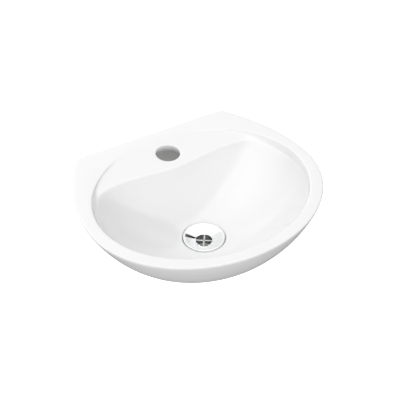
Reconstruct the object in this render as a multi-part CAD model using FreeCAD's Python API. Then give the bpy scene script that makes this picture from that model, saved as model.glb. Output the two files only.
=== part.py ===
import FreeCAD, Part
import math
import os
from FreeCAD import Vector

# Wall-hung wash basin of vitreous china with its waste and its wall fixings, in millimetres.
# The wall is the plane y = 0 and the front faces -y. Forms are drawn with the rim top at z = 0
# and every piece is lifted by fixing_drop at the end, so that the origin lies midway between the wall studs.

# Basin outline
width = 350.0
depth = 300.0
height = 104.0
widest_from_wall = 152.0
back_width = 245.0
corner_r = 5.0
rim_edge_r = 3.0

# Foot that the china stands on in the kiln
foot_half_width = 52.0
foot_front = 42.0
foot_back_width = 200.0
foot_edge_r = 4.0

# Bowl mouth and bowl
rim_side = 19.0
rim_front = 17.0
rim_back = 16.5
lip_r = 3.5
lip_sinks = (0.0, 3.0, 5.0, 7.0)
floor_wall = 17.0
waste_from_wall = 155.0
bowl_floor_margin = 2.2

# Ledge for the tap, falling towards the bowl, and the wall below it
ledge_angle = 3.9
ledge_drop_max = 7.0
ledge_lip_r = 1.2
ledge_lip_spread = 7.0
ledge_lip_step = 2.4
ledge_waist = 74.0
ledge_bulge = 10.0
ledge_bulge_angle = 38.0
ledge_edge_r = 4.5
ledge_edge_share = 0.35
ledge_run_out = 8.0
back_wall_toe = 40.0
tap_from_wall = 52.0
tap_hole_d = 35.0
tap_lip_r = 1.5

# Hollow under the ledge
china_wall = 12.0
apron_wall = 12.0
deck_wall = 11.0
hollow_corner_r = 16.0
hollow_side_angle = 130.0

# Waste
flange_d = 61.0
flange_edge = 4.2
flange_proud = 0.7
flange_round = 1.2
flange_land = 1.6
dish_depth = 6.0
dish_skin = 2.2
strainer_d = 23.4
cross_bar = 2.7
cross_depth = 3.4
cross_angle = -35.0
thread_d = 41.9
thread_bore_d = 36.0
thread_below_nut = 4.0
tail_d = 32.0
tail_bore_d = 27.0
tail_length = 38.0
waste_hole_d = 46.0
recess_gap = 1.3
seal_wall = 1.5
seal_inset = 1.2
lower_seal_d = 60.0
lower_seal_wall = 4.0
lower_seal_spigot = 3.0
slip_washer_wall = 1.5
lock_nut_flats = 52.0
lock_nut_height = 9.0

# Wall fixings
fixing_spacing = 150.0
fixing_drop = 55.0
fixing_hole_d = 14.0
stud_d = 9.8
screw_d = 10.0
stud_in_wall = 48.0
stud_tip = 9.0
stud_point = 0.35
stud_end_round = 0.25
stud_past_nut = 6.0
bush_flange_d = 24.0
bush_flange_wall = 2.5
fixing_washer_d = 26.0
fixing_washer_wall = 2.0
fixing_nut_flats = 17.0
fixing_nut_height = 8.4
nut_crown = 0.6

# Clearance round a round piece in its hole, and the play of a loose one
fit_gap = 0.35
hole_play = 0.4

# Outer wall from the rim to the foot: the share that leans in straight, and how full the rest is
front_lean = 0.23
front_power = 1.9
side_lean = 0.38
side_power = 2.15
cheek_power = 1.3

# Bowl wall: straight-sided towards the back corners, round in front, crisp where it meets the back wall
bowl_back_power = 1.15
bowl_front_power = 1.95
bowl_round_from = 0.5
bowl_round_pace = 0.3
back_wall_power = 1.05
corner_power = 30.0
ledge_corner_power = 8.5
ledge_corner_fade = 0.3

columns = 128
front_columns = 16
side_columns = 9
back_columns = 6
wall_rows = 10
wall_row_pace = 1.2
skim = 0.6

bowl_depth = height - floor_wall
mouth_a = width / 2 - rim_side
mouth_b = (depth - rim_front - rim_back) / 2
mouth_from_wall = rim_back + mouth_b
flange_r = flange_d / 2
recess_r = flange_r + recess_gap
floor_r = recess_r + bowl_floor_margin
seat_z = -bowl_depth
flange_top = seat_z + flange_proud
flange_under = flange_top - flange_edge
recess_z = flange_under - seal_wall
foot_z = -height
nut_z = foot_z - lower_seal_wall - slip_washer_wall - lock_nut_height


def skin(rows):
    # Closed smooth solid through rings of poles, with flat first and last rings
    count = len(rows[0])
    last = len(rows) - 3
    poles = [[row[i - 1] for row in rows] for i in range(count)]
    surface = Part.BSplineSurface()
    mults = [4] + [1] * (last - 1) + [4]
    surface.buildFromPolesMultsKnots(
        poles, [1] * (count + 1), mults, list(range(count + 1)), list(range(last + 1)), True, False, 3, 3
    )
    faces = []
    for start, end in ((0, count // 2), (count // 2, count)):
        half = surface.copy()
        half.segment(start, end, 0, last)
        faces.append(half.toShape())
    ends = []
    for ring in (rows[0], rows[-1]):
        level = ring[0].z
        edges = [e for f in faces for e in f.Edges if flat_at(e, level)]
        ends.append(Part.Face(Part.Wire(Part.__sortEdges__(edges))))
    shell = Part.makeShell(faces + ends)
    shell.sewShape()
    solid = Part.Solid(shell)
    if solid.Volume < 0:
        solid.reverse()
    return solid


def flat_at(edge, level):
    box = edge.BoundBox
    return abs(box.ZMax - level) < 1e-6 and abs(box.ZMin - level) < 1e-6


def lathe(points, x=0.0, y=0.0):
    # Full turn of an (r, z) outline about a vertical axis
    loop = [Vector(r, 0, z) for r, z in points]
    face = Part.Face(Part.makePolygon(loop + loop[:1]))
    turned = face.revolve(Vector(0, 0, 0), Vector(0, 0, 1), 360)
    turned.translate(Vector(x, y, 0))
    return turned


def fade(share, power):
    return max(0.0, 1.0 - share**power) ** (1.0 / power)


def drawn_in(share, lean, power):
    return lean * (1.0 - share) + (1.0 - lean) * fade(share, power)


def section(share):
    # Half width, front reach, half width at the wall and centre line of the outer form at one height
    side = drawn_in(share, side_lean, side_power)
    front = drawn_in(share, front_lean, front_power)
    cheek = 1.0 - share**cheek_power
    a = foot_half_width + (width / 2 - foot_half_width) * side
    b = foot_front + (depth - widest_from_wall - foot_front) * front
    wall = (foot_back_width + (back_width - foot_back_width) * cheek) / 2
    centre = waste_from_wall + (widest_from_wall - waste_from_wall) * side
    return a, b, wall, centre


def side_x(a, wall, centre, back, y):
    return a - (a - wall) * ((y + centre) / (centre + back)) ** 2


def outline(share, inset, z):
    # Ring of the outer form: half ellipse in front, drawn-in sides, rounded corners and a straight back
    a, b, wall, centre = section(share)
    a, b, wall, back = a - inset, b - inset, wall - inset, skim - inset
    half = []
    for i in range(front_columns + 1):
        t = math.pi / 2 * i / front_columns
        half.append((a * math.sin(t), -centre - b * math.cos(t)))
    for i in range(1, side_columns + 1):
        y = -centre + (centre + back - corner_r) * i / side_columns
        half.append((side_x(a, wall, centre, back, y), y))
    near = side_x(a, wall, centre, back, back - corner_r / 3)
    half.append((near, back - corner_r / 3))
    half.append((wall - corner_r / 3, back))
    for i in range(back_columns + 1):
        half.append(((wall - corner_r) * (1 - i / back_columns), back))
    mirrored = [(-x, y) for x, y in half[-2:0:-1]]
    return [Vector(x, y, z) for x, y in half + mirrored]


def outer_form():
    rows = [outline(0, rim_edge_r, 0), outline(0, rim_edge_r / 3, 0)]
    rows += [outline(0, 0, -rim_edge_r / 3), outline(0, 0, -rim_edge_r)]
    for i in range(1, wall_rows):
        share = math.sin(math.pi / 2 * i / wall_rows) ** wall_row_pace
        rows.append(outline(share, 0, -rim_edge_r - (height - rim_edge_r - foot_edge_r) * share))
    rows += [outline(1, 0, foot_z + foot_edge_r), outline(1, 0, foot_z + foot_edge_r / 3)]
    rows += [outline(1, foot_edge_r / 3, foot_z), outline(1, foot_edge_r, foot_z)]
    return skin(rows)


def mouth_r(angle):
    # From the waste axis to the mouth ellipse; angle 0 points to the front
    dx, dy = math.sin(angle), -math.cos(angle)
    off = mouth_from_wall - waste_from_wall
    qa = (dx / mouth_a) ** 2 + (dy / mouth_b) ** 2
    qb = off * dy / mouth_b**2
    qc = (off / mouth_b) ** 2 - 1
    return (-qb + math.sqrt(qb * qb - qa * qc)) / qa


def bowl_r(angle, share):
    # Bowl wall at a share of its depth: a round bowl met by a steep back wall, with soft corners between
    share = min(share, 1.0)
    back = -math.cos(angle)
    turn_in = max(bowl_round_from - back, 0.0) ** 2
    power = bowl_back_power + (bowl_front_power - bowl_back_power) * turn_in / (turn_in + bowl_round_pace)
    round_r = floor_r + (mouth_r(angle) - floor_r) * fade(share, power)
    if back < 0.02:
        return round_r
    turn = math.degrees(math.pi - angle if angle < math.pi else angle - math.pi)
    reach = back_wall_toe + (waste_from_wall - ledge_waist - back_wall_toe) * fade(share, back_wall_power)
    reach -= ledge_bulge * math.exp(-((turn / ledge_bulge_angle) ** 2)) * (1 - share)
    flat_r = reach / back
    crisp = min(share / ledge_corner_fade, 1.0)
    power = ledge_corner_power + (corner_power - ledge_corner_power) * crisp
    soft = (round_r**-power + flat_r**-power) ** (-1 / power)
    return max(soft, floor_r)


def ledge_z(angle, r):
    from_wall = waste_from_wall + r * math.cos(angle)
    fall = math.tan(math.radians(ledge_angle)) * (from_wall - rim_back)
    return -min(max(fall, 0.0), ledge_drop_max)


def bowl_profile(angle):
    # Poles from the rim over the lip, the ledge and its edge, down the wall to the waste seat
    mouth = mouth_r(angle)
    step = -ledge_z(angle, mouth)
    edge = mouth
    for _ in range(4):
        edge = bowl_r(angle, -ledge_z(angle, edge) / bowl_depth)
    ledge = max(mouth - edge, 0.0)
    plain = math.exp(-ledge / ledge_run_out)
    lip = ledge_lip_r + (lip_r - ledge_lip_r) * plain
    lip += ledge_lip_spread * max(1.0 - step / ledge_lip_step, 0.0) ** 2
    poles = [(mouth + lip, 0.0), (mouth + lip / 3, 0.0)]
    poles.append((mouth, -min(step, lip) / 3))
    poles.append((mouth - (1 - plain) * lip / 3, -min(step, lip)))
    near = max(ledge - lip, 0.0)
    lean = min(ledge_edge_r, ledge_edge_share * ledge)
    for out, sink in zip((near, ledge / 2, lean, 0.0), lip_sinks):
        z = ledge_z(angle, edge + out) - sink * plain
        poles.append((bowl_r(angle, -z / bowl_depth) + out, z))
    z -= ledge_edge_r
    start = math.asin(-z / bowl_depth)
    for i in range(wall_rows + 1):
        share = math.sin(start + (math.pi / 2 - start) * i / wall_rows)
        poles.append((bowl_r(angle, share) if i < wall_rows else floor_r, -bowl_depth * share))
    return poles


def bowl_form():
    turns = [2 * math.pi * i / columns for i in range(columns)]
    profiles = [bowl_profile(t) for t in turns]
    rows = []
    for level in zip(*profiles):
        rows.append(
            [Vector(r * math.sin(t), -waste_from_wall - r * math.cos(t), z)
             for t, (r, z) in zip(turns, level)]
        )
    return skin(rows)


def hollow_ring(z, inset, level):
    # Ring of the hollow behind the bowl, one wall inside the outer form and the bowl's back wall
    a, b, wall, centre = section(min(max((-z - rim_edge_r) / (height - rim_edge_r - foot_edge_r), 0.0), 1.0))
    back = -apron_wall - inset
    bowl_back = waste_from_wall - bowl_r(math.pi, -z / bowl_depth)
    aside = math.radians(hollow_side_angle)
    waist_back = waste_from_wall + bowl_r(aside, -z / bowl_depth) * math.cos(aside)
    front = -(min(bowl_back, waist_back) - china_wall) + inset
    wide = side_x(a, wall, centre, skim, back) - china_wall - inset
    far = side_x(a, wall, centre, skim, front) - china_wall - inset
    r = hollow_corner_r
    run = back - front
    half = [(far * i / back_columns, front) for i in range(back_columns)]
    half = [(x * (far - r) / far, y) for x, y in half]
    half += [(far - r, front), (far - r / 3, front), (far + (wide - far) * r / 3 / run, front + r / 3)]
    for i in range(4):
        s = (r + (run - 2 * r) * i / 3) / run
        half.append((far + (wide - far) * s, front + run * s))
    half += [(wide + (far - wide) * r / 3 / run, back - r / 3), (wide - r / 3, back)]
    half += [((wide - r) * (1 - i / back_columns), back) for i in range(back_columns + 1)]
    mirrored = [(-x, y) for x, y in half[-2:0:-1]]
    return [Vector(x, y, level) for x, y in half + mirrored]


def hollow_form():
    top = -deck_wall
    r = hollow_corner_r / 2
    rows = [hollow_ring(foot_z, 0, foot_z - 2 * skim), hollow_ring(foot_z, 0, foot_z)]
    for i in range(1, wall_rows):
        z = foot_z + (top - r - foot_z) * i / wall_rows
        rows.append(hollow_ring(z, 0, z))
    rows += [hollow_ring(top - r, 0, top - r), hollow_ring(top - r / 3, 0, top - r / 3)]
    rows += [hollow_ring(top, r / 3, top), hollow_ring(top, r, top)]
    return skin(rows)


def basin():
    body = outer_form().cut(bowl_form())
    body = body.cut(hollow_form())
    slab = Part.makeBox(2 * width, depth, 4 * height, Vector(-width, 0, -2 * height))
    cuts = [slab]
    tap_hole_base = Vector(0, -tap_from_wall, -deck_wall - skim)
    cuts.append(Part.makeCylinder(tap_hole_d / 2, 2 * deck_wall, tap_hole_base))
    cuts.append(Part.makeCylinder(recess_r, 2 * bowl_depth, Vector(0, -waste_from_wall, recess_z)))
    cuts.append(Part.makeCylinder(waste_hole_d / 2, height, Vector(0, -waste_from_wall, foot_z - skim)))
    for x in (-fixing_spacing / 2, fixing_spacing / 2):
        start = Vector(x, -apron_wall - skim, -fixing_drop)
        cuts.append(Part.makeCylinder(fixing_hole_d / 2, apron_wall + 2 * skim, start, Vector(0, 1, 0)))
    for cut in cuts:
        body = body.cut(cut)
    mouth = [e for e in body.Edges if tap_mouth(e)]
    return body.makeFillet(tap_lip_r, mouth)


def tap_mouth(edge):
    # The upper edge of the tap hole
    away = [math.hypot(v.X, v.Y + tap_from_wall) for v in edge.Vertexes]
    around = all(abs(r - tap_hole_d / 2) < 0.05 for r in away)
    return around and edge.BoundBox.ZMin > -deck_wall + skim


def waste_body():
    step_z = nut_z - thread_below_nut
    bottom = step_z - tail_length
    crest = flange_r - flange_round - flange_land
    hole = strainer_d / 2
    thread = thread_d / 2
    tail = tail_d / 2
    dish_z = flange_top - dish_depth
    outline_points = [
        (flange_r, flange_under),
        (flange_r, flange_top - flange_round),
        (flange_r - 0.3 * flange_round, flange_top - 0.3 * flange_round),
        (flange_r - flange_round, flange_top),
        (crest, flange_top),
        (crest - flange_land, flange_top - 0.5 * flange_round),
        (hole + flange_land, dish_z + 0.25 * flange_round),
        (hole, dish_z - 0.5 * flange_round),
        (hole, dish_z - cross_depth),
        (thread_bore_d / 2, dish_z - cross_depth - 2 * dish_skin),
        (thread_bore_d / 2, step_z + 3 * dish_skin),
        (tail_bore_d / 2, step_z + dish_skin),
        (tail_bore_d / 2, bottom),
        (tail, bottom),
        (tail, step_z),
        (thread - flange_round, step_z),
        (thread, step_z + flange_round),
        (thread, flange_under),
    ]
    body = lathe(outline_points)
    for turn in (0, 90):
        bar = Part.makeBox(strainer_d + dish_skin, cross_bar, cross_depth - dish_skin / 2)
        bar.translate(Vector(-(strainer_d + dish_skin) / 2, -cross_bar / 2, dish_z - cross_depth))
        bar.rotate(Vector(0, 0, 0), Vector(0, 0, 1), cross_angle + turn)
        body = body.fuse(bar)
    body = body.removeSplitter()
    body.translate(Vector(0, -waste_from_wall, 0))
    return body


def ring(inner_r, outer_r, low, high):
    points = [(inner_r, low), (outer_r, low), (outer_r, high), (inner_r, high)]
    return lathe(points, 0, -waste_from_wall)


def waste_top_seal():
    return ring(waste_hole_d / 2 + seal_inset, flange_r - seal_inset, recess_z, flange_under)


def waste_lower_seal():
    inner = thread_d / 2 + fit_gap
    spigot = waste_hole_d / 2 - hole_play
    low = foot_z - lower_seal_wall
    points = [(inner, low), (lower_seal_d / 2, low), (lower_seal_d / 2, foot_z), (spigot, foot_z)]
    points += [(spigot - hole_play, foot_z + lower_seal_spigot), (inner, foot_z + lower_seal_spigot)]
    return lathe(points, 0, -waste_from_wall)


def waste_slip_washer():
    high = foot_z - lower_seal_wall
    return ring(thread_d / 2 + hole_play, lower_seal_d / 2, high - slip_washer_wall, high)


def hex_nut(flats, bore, tall):
    # Six-sided nut on the z axis from 0 to its height, its corners turned off at both ends
    reach = flats / math.sqrt(3)
    turns = [math.pi / 3 * i for i in range(7)]
    corners = [Vector(reach * math.cos(t), reach * math.sin(t), 0) for t in turns]
    prism = Part.Face(Part.makePolygon(corners)).extrude(Vector(0, 0, tall))
    crown = (reach - flats / 2) * nut_crown
    turned = lathe(
        [(bore, 0), (flats / 2, 0), (reach, crown), (reach, tall - crown), (flats / 2, tall), (bore, tall)]
    )
    return prism.common(turned)


def waste_lock_nut():
    nut = hex_nut(lock_nut_flats, thread_d / 2 + fit_gap, lock_nut_height)
    nut.translate(Vector(0, -waste_from_wall, nut_z))
    return nut


def on_fixings(piece):
    # Lays a piece drawn along +z so that it points away from the wall, once on each fixing
    piece.rotate(Vector(0, 0, 0), Vector(1, 0, 0), 90)
    pair = []
    for x in (-fixing_spacing / 2, fixing_spacing / 2):
        copy = piece.copy()
        copy.translate(Vector(x, 0, -fixing_drop))
        pair.append(copy)
    return Part.makeCompound(pair)


bush_face = apron_wall + bush_flange_wall
washer_face = bush_face + fixing_washer_wall
nut_face = washer_face + fixing_nut_height


def wall_studs():
    r = stud_d / 2
    screw = screw_d / 2
    end = nut_face + stud_past_nut
    points = [(0, -stud_in_wall), (screw * stud_point, -stud_in_wall), (screw, -stud_in_wall + stud_tip)]
    points += [(screw, 0), (r, 0), (r, end - r * stud_end_round), (r - r * stud_end_round, end), (0, end)]
    return on_fixings(lathe(points))


def wall_bushes():
    inner = stud_d / 2 + fit_gap
    sleeve = fixing_hole_d / 2 - fit_gap
    points = [(inner, hole_play), (sleeve, hole_play), (sleeve, apron_wall)]
    points += [(bush_flange_d / 2, apron_wall), (bush_flange_d / 2, bush_face), (inner, bush_face)]
    return on_fixings(lathe(points))


def wall_washers():
    inner = stud_d / 2 + hole_play
    outer = fixing_washer_d / 2
    return on_fixings(
        lathe([(inner, bush_face), (outer, bush_face), (outer, washer_face), (inner, washer_face)])
    )


def wall_nuts():
    nut = hex_nut(fixing_nut_flats, stud_d / 2 + fit_gap, fixing_nut_height)
    nut.translate(Vector(0, 0, washer_face))
    return on_fixings(nut)


pieces = {
    "basin": basin,
    "waste_body": waste_body,
    "waste_top_seal": waste_top_seal,
    "waste_lower_seal": waste_lower_seal,
    "waste_slip_washer": waste_slip_washer,
    "waste_lock_nut": waste_lock_nut,
    "wall_studs": wall_studs,
    "wall_bushes": wall_bushes,
    "wall_washers": wall_washers,
    "wall_nuts": wall_nuts,
}

os.makedirs("parts", exist_ok=True)
for name, make in pieces.items():
    shape = make()
    shape.translate(Vector(0, 0, fixing_drop))
    shape.exportStep("parts/" + name + ".step")
    box = shape.BoundBox
    print(name, "solids", len(shape.Solids), "valid", shape.isValid(), "cm3", round(shape.Volume / 1000, 2))
    print("    x", round(box.XMin, 2), round(box.XMax, 2), "y", round(box.YMin, 2), round(box.YMax, 2))
    print("    z", round(box.ZMin, 2), round(box.ZMax, 2))
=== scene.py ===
import bpy, bmesh, math
from mathutils import Matrix, Vector


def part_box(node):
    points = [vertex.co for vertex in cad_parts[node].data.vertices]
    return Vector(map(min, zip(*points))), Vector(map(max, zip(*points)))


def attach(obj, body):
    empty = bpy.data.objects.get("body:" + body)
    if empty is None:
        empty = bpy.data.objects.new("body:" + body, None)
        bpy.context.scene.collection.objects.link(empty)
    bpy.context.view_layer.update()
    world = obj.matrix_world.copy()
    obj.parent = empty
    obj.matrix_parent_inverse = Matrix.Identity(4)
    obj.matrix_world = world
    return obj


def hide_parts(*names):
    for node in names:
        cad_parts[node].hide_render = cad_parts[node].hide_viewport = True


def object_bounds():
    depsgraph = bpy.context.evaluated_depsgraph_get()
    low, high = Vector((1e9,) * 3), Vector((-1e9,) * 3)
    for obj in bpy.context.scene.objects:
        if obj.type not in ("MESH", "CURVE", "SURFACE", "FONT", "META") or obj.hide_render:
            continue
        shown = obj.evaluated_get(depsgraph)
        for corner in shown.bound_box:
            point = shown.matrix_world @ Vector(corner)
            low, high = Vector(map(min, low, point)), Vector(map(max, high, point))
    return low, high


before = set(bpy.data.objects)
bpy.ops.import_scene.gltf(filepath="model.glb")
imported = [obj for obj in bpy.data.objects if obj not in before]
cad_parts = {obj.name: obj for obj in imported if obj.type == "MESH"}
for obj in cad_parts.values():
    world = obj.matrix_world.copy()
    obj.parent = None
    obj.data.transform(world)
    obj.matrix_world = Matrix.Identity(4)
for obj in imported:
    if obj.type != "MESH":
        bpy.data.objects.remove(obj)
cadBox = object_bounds()
scene = bpy.context.scene
scene.view_settings.view_transform = "Standard"
print("frame loaded:", len(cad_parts), "nodes")

# Camera at the photograph's viewing angle
cameraSet = {
    "azimuth": -30.70,                       # degrees, 0 looks along +Y
    "elevation": 40.34,
    "distance": 1.2167,
    "target": (-0.0154, -0.1695, 0.055),
    "lens": 80.48,
    "sensor": 36.0,
}


def heading(azimuth, elevation):
    # unit vector from the object towards an azimuth and an elevation, both in degrees
    a, e = math.radians(azimuth), math.radians(elevation)
    return Vector((math.sin(a) * math.cos(e), -math.cos(a) * math.cos(e), math.sin(e)))


def addCamera(s):
    back = heading(s["azimuth"], s["elevation"])
    data = bpy.data.cameras.new("camera")
    data.lens = s["lens"]
    data.sensor_width = s["sensor"]
    cam = bpy.data.objects.new("camera", data)
    scene.collection.objects.link(cam)
    cam.location = Vector(s["target"]) + back * s["distance"]
    cam.rotation_mode = "QUATERNION"
    cam.rotation_quaternion = (-back).to_track_quat("-Z", "Y")
    scene.camera = cam


# Node helpers
def addNode(tree, kind, settings=None, **links):
    # settings fill sockets or properties by name; links join earlier outputs to sockets by name
    node = tree.nodes.new(kind)
    for key, value in (settings or {}).items():
        if key in node.inputs:
            node.inputs[key].default_value = value
        else:
            setattr(node, key, value)
    for key, value in links.items():
        tree.links.new(value, node.inputs[key.replace("_", " ")])
    return node


def newMaterial(name, sockets):
    mat = bpy.data.materials.new(name)
    mat.use_nodes = True
    shader = mat.node_tree.nodes["Principled BSDF"]
    for key, value in sockets.items():
        shader.inputs[key].default_value = value
    return mat, mat.node_tree, shader


def objectSpace(tree, centre=(0, 0, 0)):
    # Object coordinates, moved so that a pattern can be centred on a piece
    coord = addNode(tree, "ShaderNodeTexCoord").outputs["Object"]
    shift = addNode(tree, "ShaderNodeMapping", {"Location": [-c for c in centre]}, Vector=coord)
    return shift.outputs["Vector"]


def noise(tree, where, scale, detail=3.0, rough=0.5):
    settings = {"Scale": scale, "Detail": detail, "Roughness": rough}
    return addNode(tree, "ShaderNodeTexNoise", settings, Vector=where).outputs["Fac"]


def spread(tree, value, low, high):
    # a noise, which mostly lies between 0.3 and 0.7, mapped to a range
    settings = {"From Min": 0.3, "From Max": 0.7, "To Min": low, "To Max": high}
    return addNode(tree, "ShaderNodeMapRange", settings, Value=value).outputs["Result"]


def tint(tree, value, stops):
    ramp = addNode(tree, "ShaderNodeValToRGB", None, Fac=value)
    elements = ramp.color_ramp.elements
    while len(elements) < len(stops):
        elements.new(0.5)
    for element, (place, colour) in zip(elements, stops):
        element.position = place
        element.color = (*colour, 1.0)
    return ramp.outputs["Color"]


def addBump(tree, shader, height, distance, strength):
    bump = addNode(tree, "ShaderNodeBump", {"Distance": distance, "Strength": strength}, Height=height)
    tree.links.new(bump.outputs["Normal"], shader.inputs["Normal"])


# Finishes
def whiteGlaze():
    mat, tree, shader = newMaterial("whiteGlaze", {"IOR": 1.52, "Specular IOR Level": 0.5})
    where = objectSpace(tree)
    cloud = noise(tree, where, 9.0, 2.0)
    shade = tint(tree, cloud, [(0.3, (0.878, 0.878, 0.878)), (0.7, (0.892, 0.892, 0.892))])
    tree.links.new(shade, shader.inputs["Base Color"])
    film = noise(tree, where, 60.0, 4.0, 0.6)
    tree.links.new(spread(tree, film, 0.05, 0.09), shader.inputs["Roughness"])
    peel = noise(tree, where, 140.0, 1.0)
    addBump(tree, shader, peel, 0.00004, 0.6)
    return mat


def bareChina(name, light, dark, rough):
    # unglazed or thinly washed body, with pores and faint fire marks
    mat, tree, shader = newMaterial(name, {"IOR": 1.5, "Specular IOR Level": 0.3})
    where = objectSpace(tree)
    mark = noise(tree, where, 22.0, 6.0, 0.65)
    tree.links.new(tint(tree, mark, [(0.25, dark), (0.62, light)]), shader.inputs["Base Color"])
    grain = noise(tree, where, 900.0, 3.0, 0.7)
    tree.links.new(spread(tree, grain, rough - 0.08, rough + 0.1), shader.inputs["Roughness"])
    addBump(tree, shader, grain, 0.0002, 0.5)
    return mat


def mirrorChrome():
    sockets = {"Metallic": 1.0, "Base Color": (0.91, 0.915, 0.92, 1.0)}
    mat, tree, shader = newMaterial("mirrorChrome", sockets)
    where = objectSpace(tree)
    wipe = noise(tree, where, 320.0, 3.0, 0.6)
    tree.links.new(spread(tree, wipe, 0.03, 0.075), shader.inputs["Roughness"])
    wave = noise(tree, where, 70.0, 1.0)
    addBump(tree, shader, wave, 0.00002, 0.5)
    return mat


def turnedMetal(name, light, dark, rough, centre, pitch):
    # fine turning marks round a vertical axis, with darker patches
    mat, tree, shader = newMaterial(name, {"Metallic": 1.0})
    where = objectSpace(tree, centre)
    patch = noise(tree, where, 85.0, 5.0, 0.6)
    tree.links.new(tint(tree, patch, [(0.3, dark), (0.65, light)]), shader.inputs["Base Color"])
    tree.links.new(spread(tree, patch, rough + 0.1, rough - 0.05), shader.inputs["Roughness"])
    settings = {"wave_type": "RINGS", "rings_direction": "Z", "Scale": 1.0 / pitch, "Distortion": 0.4}
    marks = addNode(tree, "ShaderNodeTexWave", settings, Vector=where)
    addBump(tree, shader, marks.outputs["Fac"], 0.00002, 0.5)
    return mat


def zincPlate():
    mat, tree, shader = newMaterial("zincPlate", {"Metallic": 1.0})
    where = objectSpace(tree)
    bloom = noise(tree, where, 120.0, 4.0, 0.6)
    stops = [(0.25, (0.60, 0.62, 0.66)), (0.5, (0.72, 0.73, 0.74)), (0.75, (0.74, 0.72, 0.64))]
    tree.links.new(tint(tree, bloom, stops), shader.inputs["Base Color"])
    grain = noise(tree, where, 1500.0, 2.0)
    tree.links.new(spread(tree, grain, 0.24, 0.42), shader.inputs["Roughness"])
    addBump(tree, shader, grain, 0.00004, 0.6)
    return mat


def mouldedRubber(name, light, dark, rough):
    mat, tree, shader = newMaterial(name, {"Specular IOR Level": 0.35})
    where = objectSpace(tree)
    bloom = noise(tree, where, 160.0, 5.0, 0.6)
    tree.links.new(tint(tree, bloom, [(0.3, dark), (0.7, light)]), shader.inputs["Base Color"])
    skin = noise(tree, where, 1200.0, 2.0)
    tree.links.new(spread(tree, skin, rough - 0.06, rough + 0.08), shader.inputs["Roughness"])
    addBump(tree, shader, skin, 0.00006, 0.5)
    return mat


def whiteNylon():
    sockets = {"Subsurface Weight": 0.15, "Subsurface Scale": 0.5}
    sockets["Subsurface Radius"] = (0.003, 0.003, 0.0025)
    mat, tree, shader = newMaterial("whiteNylon", sockets)
    where = objectSpace(tree)
    cloud = noise(tree, where, 140.0, 3.0)
    stops = [(0.3, (0.80, 0.80, 0.76)), (0.7, (0.86, 0.86, 0.83))]
    tree.links.new(tint(tree, cloud, stops), shader.inputs["Base Color"])
    skin = noise(tree, where, 700.0, 2.0)
    tree.links.new(spread(tree, skin, 0.34, 0.46), shader.inputs["Roughness"])
    addBump(tree, shader, skin, 0.00004, 0.5)
    return mat


# Mesh helpers
def addPiece(name, bm, node, mats, sharp=35.0):
    # a finished piece: smooth, with hard edges kept, riding on the only body
    mesh = bpy.data.meshes.new(name)
    bm.to_mesh(mesh)
    bm.free()
    mesh.shade_smooth()
    mesh.set_sharp_from_angle(angle=math.radians(sharp))
    for mat in mats:
        mesh.materials.append(mat)
    piece = bpy.data.objects.new(name, mesh)
    scene.collection.objects.link(piece)
    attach(piece, "root")
    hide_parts(node)
    print("piece", name, "faces", len(mesh.polygons))


def lathe(bm, outline, origin, axis, turns=72, closed=True):
    # spins an outline of (radius, height) points a full turn about an axis through the origin
    axis = Vector(axis)
    side = axis.orthogonal().normalized()
    ring = [bm.verts.new(Vector(origin) + side * r + axis * h) for r, h in outline]
    line = [bm.edges.new(pair) for pair in zip(ring, ring[1:])]
    if closed:
        line.append(bm.edges.new((ring[-1], ring[0])))
    bmesh.ops.spin(
        bm, geom=ring + line, cent=origin, axis=axis, dvec=(0, 0, 0), angle=2 * math.pi, steps=turns,
        use_merge=True, use_duplicate=False,
    )
    bmesh.ops.remove_doubles(bm, verts=bm.verts, dist=1e-6)
    bmesh.ops.recalc_face_normals(bm, faces=bm.faces)


def bevelEdges(bm, edges, width, segments):
    bmesh.ops.bevel(
        bm, geom=edges, offset=width, offset_type="OFFSET", segments=segments, profile=0.5,
        affect="EDGES", clamp_overlap=True, material=-1,
    )


def roundEdges(bm, width, segments=3, angle=35.0):
    limit = math.radians(angle)
    edges = [e for e in bm.edges if len(e.link_faces) == 2 and e.calc_face_angle(0.0) > limit]
    bevelEdges(bm, edges, width, segments)


def screwThread(bm, s, origin, axis):
    # a helical ridge on a core, running out at both ends
    axis = Vector(axis)
    side = axis.orthogonal().normalized()
    base = Vector(origin) + axis * s["start"]
    sunk = s["coreR"] - s["sink"]
    half = s["pitch"] * s["ridgeShare"] / 2
    flat = s["crestWidth"] / 2
    corners = [(sunk, -half), (s["crestR"], -flat), (s["crestR"], flat), (sunk, half)]
    ring = [bm.verts.new(base + side * r + axis * h) for r, h in corners]
    line = [bm.edges.new(pair) for pair in zip(ring, ring[1:] + ring[:1])]
    count = s["length"] / s["pitch"]
    steps = int(round(count * s["steps"]))
    before = set(bm.verts) - set(ring)
    bmesh.ops.spin(
        bm, geom=ring + line, cent=origin, axis=axis, dvec=axis * (s["length"] / steps),
        angle=2 * math.pi * count, steps=steps, use_merge=False, use_duplicate=False,
    )
    made = [v for v in bm.verts if v not in before]
    for vert in made:
        rel = vert.co - base
        along = rel.dot(axis)
        out = rel - axis * along
        if out.length > s["coreR"]:
            share = min(max(along, 0.0) / s["runOut"], max(s["length"] - along, 0.0) / s["runOut"], 1.0)
            reach = s["coreR"] + (out.length - s["coreR"]) * share
            vert.co = base + axis * along + out.normalized() * reach
    rims = [e for v in made for e in v.link_edges if e.is_boundary]
    bmesh.ops.holes_fill(bm, edges=list(set(rims)), sides=4)
    bmesh.ops.recalc_face_normals(bm, faces=list({f for v in made for f in v.link_faces}))


def cadCopy(node):
    # the node's own shape as one joined mesh
    bm = bmesh.new()
    bm.from_mesh(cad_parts[node].data)
    bmesh.ops.remove_doubles(bm, verts=bm.verts, dist=1e-6)
    for face in bm.faces:
        face.material_index = 0
    return bm


def boxMiddle(node):
    low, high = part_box(node)
    return (low + high) / 2


addCamera(cameraSet)
print("camera placed")

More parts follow.
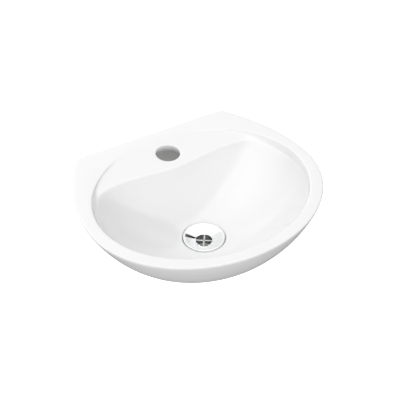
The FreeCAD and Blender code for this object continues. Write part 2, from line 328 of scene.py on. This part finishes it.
# Basin: the glazed china, bare where it meets the wall and on its foot, thinly washed in the hollow
chinaSet = {
    "flatness": 0.0004,           # how near a face lies to the wall plane or the foot to count as bare
    "facing": 0.9,                # and how squarely it faces that way
    "downward": 0.5,              # how far down a face points to be the first of the hollow
    "hollowSeed": (0.06, -0.045, 0.041),
    "fold": 60.0,                 # degrees, edges sharper than this bound the hollow
}


def growRegion(seed, limit):
    # faces reached from the seed without crossing a sharp edge
    found, front = {seed}, [seed]
    while front:
        for edge in front.pop().edges:
            if edge.calc_face_angle(math.pi) < limit:
                fresh = set(edge.link_faces) - found
                found |= fresh
                front += fresh
    return found


def makeBasin(s):
    bm = cadCopy("basin")
    low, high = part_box("basin")
    seedAt = Vector(s["hollowSeed"])
    down = [f for f in bm.faces if f.normal.z < -s["downward"]]
    seed = min(down, key=lambda f: (f.calc_center_median() - seedAt).length)
    for face in growRegion(seed, math.radians(s["fold"])):
        face.material_index = 2
    for face in bm.faces:
        middle = face.calc_center_median()
        onWall = high.y - middle.y < s["flatness"] and face.normal.y > s["facing"]
        onFoot = middle.z - low.z < s["flatness"] and face.normal.z < -s["facing"]
        if onWall or onFoot:
            face.material_index = 1
    bare = bareChina("bareChina", (0.80, 0.77, 0.71), (0.70, 0.66, 0.60), 0.72)
    washed = bareChina("washedChina", (0.86, 0.86, 0.85), (0.80, 0.80, 0.785), 0.42)
    addPiece("basin_china", bm, "basin", [whiteGlaze(), bare, washed])


makeBasin(chinaSet)

# Waste: chromed flange, dish and cross, with the thread and the plain tail below
wasteSet = {
    "rimRound": 0.0012,
    "land": 0.0016,
    "flangeWall": 0.0042,
    "dishDepth": 0.006,
    "holeR": 0.0117,
    "holeLip": 0.0016,
    "crossDepth": 0.0034,
    "crossBar": 0.0025,
    "crossTop": 0.0006,           # the cross lies this far below the lip of the hole
    "crossTurn": -35.0,
    "boreR": 0.018,
    "tailBoreR": 0.0135,
    "tailR": 0.016,
    "tailLength": 0.038,
    "step": 0.0022,
    "edgeRound": 0.0005,
    "edgeAngle": 12.0,            # degrees, sharper edges than this are rounded
    "barOverlap": 0.0004,         # the bars' ends reach into the metal round the hole
    "boreMargin": 0.001,          # faces this far outside the bore still take its darkened metal, which paints the drain's shade
    "turns": 96,
}
wasteThread = {
    "coreR": 0.0196,
    "crestR": 0.0209,
    "crestWidth": 0.0004,
    "ridgeShare": 0.92,
    "sink": 0.0003,
    "pitch": 0.0023,
    "start": -0.0344,             # below the flange top
    "length": 0.0265,
    "runOut": 0.0025,
    "steps": 48,
}


def makeWaste(s, thread):
    low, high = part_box("waste_body")
    middle = (low + high) / 2
    top = Vector((middle.x, middle.y, high.z))
    rim = (high.x - low.x) / 2
    tail = low.z - high.z
    stepZ = tail + s["tailLength"]
    dish = -s["dishDepth"]
    crest = rim - s["rimRound"] - s["land"]
    coreR = thread["coreR"]
    outline = [
        (rim, -s["flangeWall"]), (rim, 0.0), (crest, 0.0), (crest - s["land"], -0.5 * s["rimRound"]),
        (s["holeR"] + s["holeLip"], dish + 0.25 * s["rimRound"]), (s["holeR"], dish - 0.5 * s["rimRound"]),
        (s["holeR"], dish - s["crossDepth"]), (s["boreR"], dish - s["crossDepth"] - 2 * s["step"]),
        (s["boreR"], stepZ + 3 * s["step"]), (s["tailBoreR"], stepZ + s["step"]), (s["tailBoreR"], tail),
        (s["tailR"], tail), (s["tailR"], stepZ), (coreR, stepZ), (coreR, -s["flangeWall"]),
    ]
    bm = bmesh.new()
    lathe(bm, outline, top, (0, 0, 1), turns=s["turns"])
    roundEdges(bm, s["edgeRound"], segments=4, angle=s["edgeAngle"])
    # faces in the bore get grey unplated metal, darkened beyond its own tone to paint the shade deep in
    # the drain
    for face in bm.faces:
        at = face.calc_center_median() - top
        across = math.hypot(at.x, at.y)
        inBore = at.z < dish - 0.5 * s["rimRound"] and face.normal.x * at.x + face.normal.y * at.y < 0
        face.material_index = 1 if inBore and across < s["boreR"] + s["boreMargin"] else 0
    reach = s["holeR"] + s["barOverlap"]
    size = Vector((2 * reach, s["crossBar"], s["crossDepth"] - s["crossTop"] - s["rimRound"] / 2))
    lift = dish - 0.5 * s["rimRound"] - s["crossTop"] - size.z / 2
    for turn in (0, 90):
        cross = bmesh.ops.create_cube(bm, size=1.0)["verts"]
        bmesh.ops.scale(bm, vec=size, verts=cross)
        bmesh.ops.translate(bm, vec=(0, 0, lift), verts=cross)
        spun = Matrix.Rotation(math.radians(s["crossTurn"] + turn), 3, "Z")
        bmesh.ops.rotate(bm, cent=(0, 0, 0), matrix=spun, verts=cross)
        bmesh.ops.translate(bm, vec=top, verts=cross)
        edges = list({e for v in cross for e in v.link_edges})
        # the cross gets the same darkened metal, painted shade of the drain
        for face in {f for v in cross for f in v.link_faces}:
            face.material_index = 1
        bevelEdges(bm, edges, s["edgeRound"], 3)
    screwThread(bm, thread, top, (0, 0, 1))
    # bore metal: grey turned metal with real turning marks, made darker to paint the shade inside the
    # drain
    bore = turnedMetal("wasteBoreMetalAndShade", (0.66, 0.66, 0.65), (0.48, 0.48, 0.47), 0.32, top, 0.0008)
    addPiece("waste_fitting", bm, "waste_body", [mirrorChrome(), bore])


makeWaste(wasteSet, wasteThread)

# Seals, slip washer and lock nut under the bowl
stackSet = {
    "upperBoreR": 0.0242,
    "lowerBoreR": 0.0213,
    "lowerDisc": 0.004,
    "spigotR": 0.0226,
    "spigotTopR": 0.0222,
    "slipBoreR": 0.02135,
    "softRound": 0.0006,
    "hardRound": 0.0003,
    "nutRound": 0.0004,
}


def diskPlace(node):
    # the middle of a disk's underside, its radius and its height
    low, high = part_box(node)
    base = Vector(((low.x + high.x) / 2, (low.y + high.y) / 2, low.z))
    return base, (high.x - low.x) / 2, high.z - low.z


def diskPiece(name, node, mat, boreR, rounding):
    base, rim, tall = diskPlace(node)
    bm = bmesh.new()
    lathe(bm, [(boreR, 0), (rim, 0), (rim, tall), (boreR, tall)], base, (0, 0, 1))
    roundEdges(bm, rounding)
    addPiece(name, bm, node, [mat])


def makeLowerSeal(s, mat):
    base, rim, tall = diskPlace("waste_lower_seal")
    outline = [(s["lowerBoreR"], 0), (rim, 0), (rim, s["lowerDisc"]), (s["spigotR"], s["lowerDisc"])]
    outline += [(s["spigotTopR"], tall), (s["lowerBoreR"], tall)]
    bm = bmesh.new()
    lathe(bm, outline, base, (0, 0, 1))
    roundEdges(bm, s["softRound"])
    addPiece("seal_lower", bm, "waste_lower_seal", [mat])


def makeNuts(name, node, mat, rounding, flatLimit=0.3, edgeAngle=20.0):
    bm = cadCopy(node)
    bmesh.ops.dissolve_limit(
        bm, angle_limit=math.radians(flatLimit), use_dissolve_boundaries=False, verts=bm.verts,
        edges=bm.edges, delimit=set(),
    )
    roundEdges(bm, rounding, segments=2, angle=edgeAngle)
    addPiece(name, bm, node, [mat])


def makeStack(s):
    pale = mouldedRubber("paleSeal", (0.80, 0.80, 0.77), (0.72, 0.72, 0.69), 0.55)
    black = mouldedRubber("blackRubber", (0.035, 0.035, 0.036), (0.016, 0.016, 0.017), 0.55)
    nutAt = boxMiddle("waste_lock_nut")
    brass = turnedMetal("turnedBrass", (0.78, 0.58, 0.29), (0.62, 0.43, 0.19), 0.28, nutAt, 0.0006)
    diskPiece("seal_upper", "waste_top_seal", pale, s["upperBoreR"], s["hardRound"])
    makeLowerSeal(s, black)
    nylon = whiteNylon()
    diskPiece("slip_washer", "waste_slip_washer", nylon, s["slipBoreR"], s["hardRound"])
    makeNuts("lock_nut", "waste_lock_nut", brass, s["nutRound"])


makeStack(stackSet)

# Wall fixings: hanger bolts with a coarse screw in the wall, bushes, washers and nuts
boltSet = {
    "spacing": 0.150,
    "tip": 0.048,                 # reach into the wall
    "pointLength": 0.009,
    "pointR": 0.0012,
    "collar": 0.006,
    "shankR": 0.0049,
    "endRound": 0.0008,
}
machineThread = {
    "coreR": 0.0041,
    "crestR": 0.0049,
    "crestWidth": 0.0002,
    "ridgeShare": 0.9,
    "sink": 0.0002,
    "pitch": 0.0015,
    "start": 0.0015,
    "length": 0.0285,
    "runOut": 0.001,
    "steps": 32,
}
wallThread = {
    "coreR": 0.0037,
    "crestR": 0.005,
    "crestWidth": 0.0003,
    "ridgeShare": 0.45,
    "sink": 0.0002,
    "pitch": 0.0042,
    "start": -0.0405,
    "length": 0.0335,
    "runOut": 0.004,
    "steps": 40,
}
fixingSet = {
    "bushBoreR": 0.00525,
    "sleeveR": 0.00665,
    "flange": 0.0025,
    "washerBoreR": 0.0053,
    "bushRound": 0.0004,
    "washerRound": 0.0003,
    "nutRound": 0.0003,
}


def makeBolts(s, fine, coarse, zinc):
    outward = (0, -1, 0)
    end = -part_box("wall_studs")[0].y
    screwR, coreR = coarse["coreR"], fine["coreR"]
    outline = [
        (0.0, -s["tip"]), (s["pointR"], -s["tip"] + s["pointR"]), (screwR, -s["tip"] + s["pointLength"]),
        (screwR, -s["collar"]), (s["shankR"], -s["collar"] + s["endRound"]), (s["shankR"], 0.0),
        (coreR, s["endRound"]), (coreR, end - s["endRound"]), (coreR - s["endRound"], end), (0.0, end),
    ]
    bm = bmesh.new()
    for side in (-1, 1):
        origin = Vector((side * s["spacing"] / 2, 0, 0))
        lathe(bm, outline, origin, outward, turns=40, closed=False)
        screwThread(bm, fine, origin, outward)
        screwThread(bm, coarse, origin, outward)
    addPiece("hanger_bolts", bm, "wall_studs", [zinc], sharp=28.0)


def pairOnWall(name, node, mat, outline, spacing, rounding):
    bm = bmesh.new()
    for side in (-1, 1):
        lathe(bm, outline, Vector((side * spacing / 2, 0, 0)), (0, -1, 0), turns=56)
    roundEdges(bm, rounding)
    addPiece(name, bm, node, [mat])


def makeFixings(s, spacing, zinc):
    low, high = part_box("wall_bushes")
    flangeR = (high.z - low.z) / 2
    back, front = -high.y, -low.y
    seat = front - s["flange"]
    bush = [(s["bushBoreR"], back), (s["sleeveR"], back), (s["sleeveR"], seat)]
    bush += [(flangeR, seat), (flangeR, front), (s["bushBoreR"], front)]
    pairOnWall("fixing_bushes", "wall_bushes", whiteNylon(), bush, spacing, s["bushRound"])
    low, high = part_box("wall_washers")
    rim = (high.z - low.z) / 2
    washer = [(s["washerBoreR"], -high.y), (rim, -high.y), (rim, -low.y), (s["washerBoreR"], -low.y)]
    pairOnWall("fixing_washers", "wall_washers", zinc, washer, spacing, s["washerRound"])
    makeNuts("fixing_nuts", "wall_nuts", zinc, s["nutRound"])


zinc = zincPlate()
makeBolts(boltSet, machineThread, wallThread, zinc)
makeFixings(fixingSet, boltSet["spacing"], zinc)
print("fixings made")

# Studio: a plain pale floor far below, and a sky of broad soft lights that is darker on the right
floorSet = {
    "drop": 0.85,
    "size": 40.0,
    "colour": (0.92, 0.92, 0.92, 1.0),
    "rough": 0.9,
    "glow": 0.7,
}
skySet = {
    "base": 0.318,                # light from everywhere
    "patches": [                  # azimuth, elevation, half width and gain of each soft light or dark side
        (0, 90, 60, 0.345),
        (0, 45, 60, 0.970),
        (-60, 45, 60, 0.445),
        (180, 45, 60, 0.665),
        (180, 8, 50, 0.845),
        (0, -35, 55, 0.215),
        (-80, -35, 55, 0.448),
        (0, -90, 75, 0.078),
        (60, 45, 60, -0.170),
        (120, 45, 60, -0.100),
        (60, 8, 50, -0.120),
        (120, 8, 50, -0.120),
    ],
    "cards": [                    # azimuth, elevation, inner and outer half width, gain; reflections only
        (98, 60, 20, 24, 0.9),
        (115, 31, 8, 13, -0.08),
    ],
}


def addFloor(s):
    low, high = cadBox
    bm = bmesh.new()
    bmesh.ops.create_grid(bm, x_segments=1, y_segments=1, size=s["size"])
    bmesh.ops.translate(bm, vec=(0, 0, high.z - s["drop"]), verts=bm.verts)
    mesh = bpy.data.meshes.new("floor")
    bm.to_mesh(mesh)
    bm.free()
    sockets = {"Base Color": s["colour"], "Roughness": s["rough"]}
    sockets.update({"Emission Color": (1, 1, 1, 1), "Emission Strength": s["glow"]})
    mesh.materials.append(newMaterial("paleFloor", sockets)[0])
    floor = bpy.data.objects.new("floor", mesh)
    floor.visible_diffuse = False            # the sky below the horizon stands for its bounce
    floor.visible_glossy = False
    scene.collection.objects.link(floor)


def lobe(tree, where, at, inner, outer, middle, edge):
    # a round patch of sky: one value within the inner angle, another beyond the outer one
    toward = addNode(tree, "ShaderNodeVectorMath", {"operation": "DOT_PRODUCT"})
    tree.links.new(where, toward.inputs[0])
    toward.inputs[1].default_value = heading(*at)
    settings = {
        "interpolation_type": "SMOOTHSTEP", "To Min": edge, "To Max": middle,
        "From Min": math.cos(math.radians(outer)), "From Max": math.cos(math.radians(inner)),
    }
    return addNode(tree, "ShaderNodeMapRange", settings, Value=toward.outputs["Value"]).outputs["Result"]


def joinValues(tree, operation, first, second):
    node = addNode(tree, "ShaderNodeMath", {"operation": operation})
    tree.links.new(first, node.inputs[0])
    tree.links.new(second, node.inputs[1])
    return node.outputs["Value"]


def addSky(s):
    world = bpy.data.worlds.new("studio")
    scene.world = world
    world.use_nodes = True
    tree = world.node_tree
    light = tree.nodes["Background"]
    light.inputs["Color"].default_value = (1, 1, 1, 1)
    where = addNode(tree, "ShaderNodeTexCoord").outputs["Generated"]
    first, *rest = s["patches"]              # the first patch also carries the even light
    level = lobe(tree, where, first[:2], 0.0, first[2], s["base"] + first[3], s["base"])
    for azimuth, elevation, width, gain in rest:
        patch = lobe(tree, where, (azimuth, elevation), 0.0, width, gain, 0.0)
        level = joinValues(tree, "ADD", level, patch)
    path = addNode(tree, "ShaderNodeLightPath")
    for azimuth, elevation, inner, outer, gain in s["cards"]:
        card = lobe(tree, where, (azimuth, elevation), inner, outer, gain, 0.0)
        card = joinValues(tree, "MULTIPLY", card, path.outputs["Is Glossy Ray"])
        level = joinValues(tree, "ADD", level, card)
    tree.links.new(level, light.inputs["Strength"])
    plain = addNode(tree, "ShaderNodeBackground", {"Color": (1, 1, 1, 1), "Strength": 1.0})
    blend = addNode(tree, "ShaderNodeMixShader")
    tree.links.new(path.outputs["Is Camera Ray"], blend.inputs[0])
    tree.links.new(light.outputs[0], blend.inputs[1])
    tree.links.new(plain.outputs[0], blend.inputs[2])
    tree.links.new(blend.outputs[0], tree.nodes["World Output"].inputs["Surface"])


addFloor(floorSet)
addSky(skySet)
print("studio lit")
